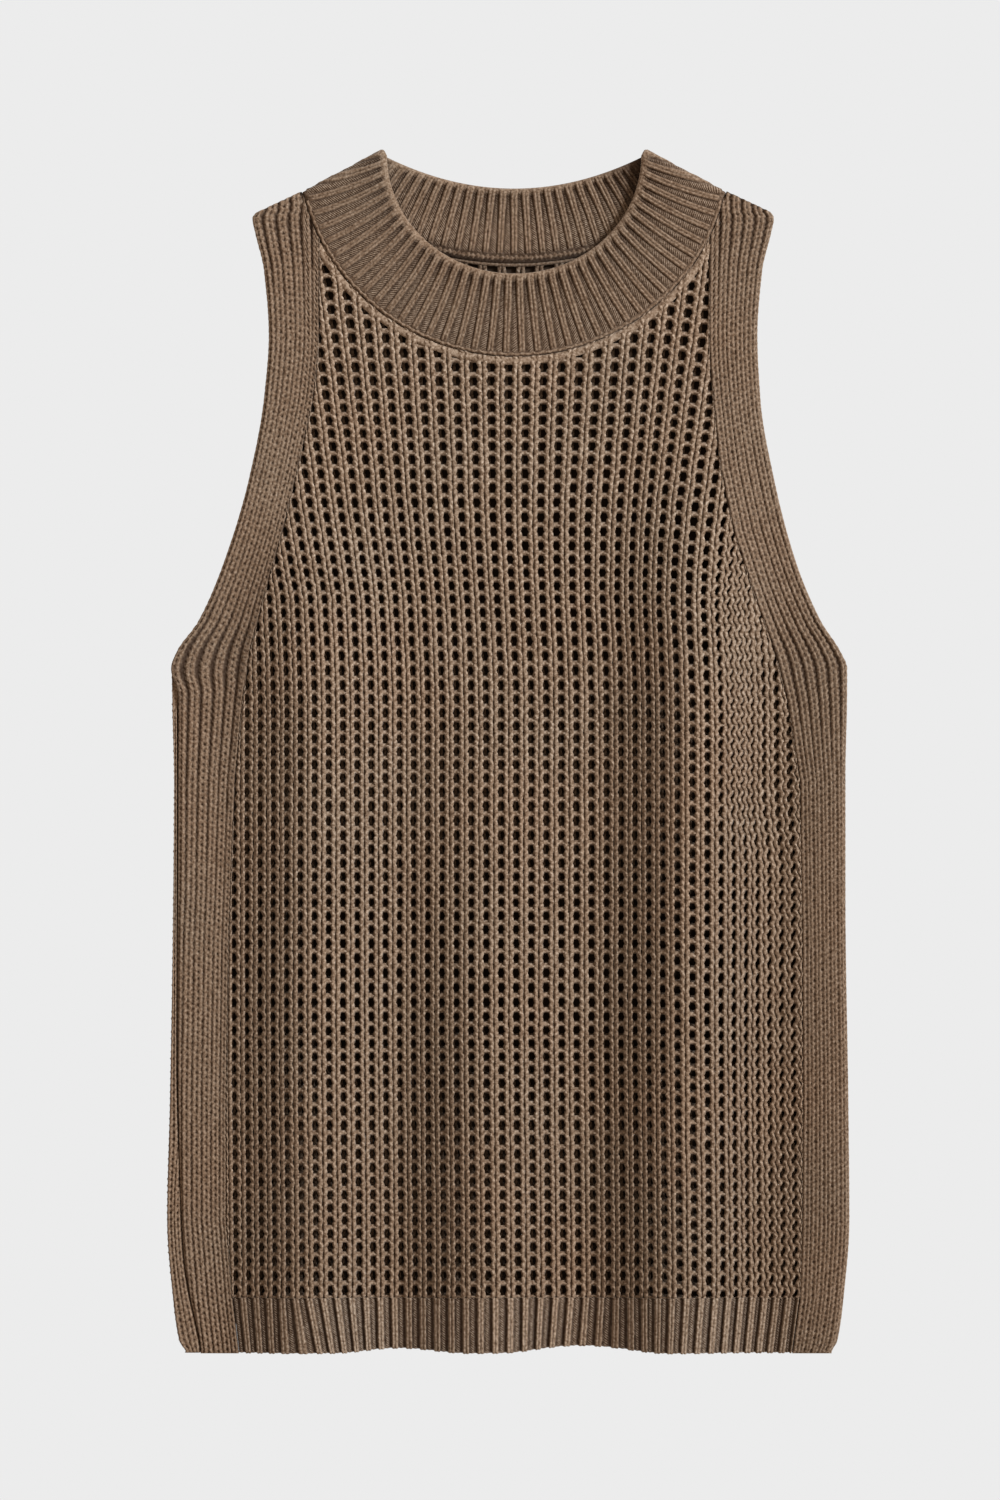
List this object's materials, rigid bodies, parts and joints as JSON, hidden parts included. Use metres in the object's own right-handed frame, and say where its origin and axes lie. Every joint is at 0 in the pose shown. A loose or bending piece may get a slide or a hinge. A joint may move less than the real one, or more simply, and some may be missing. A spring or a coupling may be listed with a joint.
{
  "type": "knitted sweater vest",
  "caption": "Sleeveless knitted vest laid flat, with an open-mesh body, dense rib side borders and hem, and a ribbed crew neckband.",
  "frame": {"origin": "on the surface the vest lies on, under the middle of its outline", "axes": "+Y from the hem to the neck, +Z out of the front, +X towards the viewer's right when looking at the front with the neck up"},
  "size_m": [0.3836, 0.674, 0.0101],
  "materials": {
    "mesh_knit": "matte cotton yarn in an open mesh",
    "rib_knit": "matte cotton yarn in a dense rib",
    "neck_rib_knit": "matte cotton yarn in a fine rib"
  },
  "bodies": {
    "root": {"front_mesh_panel": "mesh_knit", "front_border_left": "rib_knit", "front_border_right": "rib_knit", "front_hem_rib": "rib_knit", "back_mesh_panel": "mesh_knit", "back_border_left": "rib_knit", "back_border_right": "rib_knit", "back_hem_rib": "rib_knit", "neckband": "neck_rib_knit"}
  },
  "joints": []
}
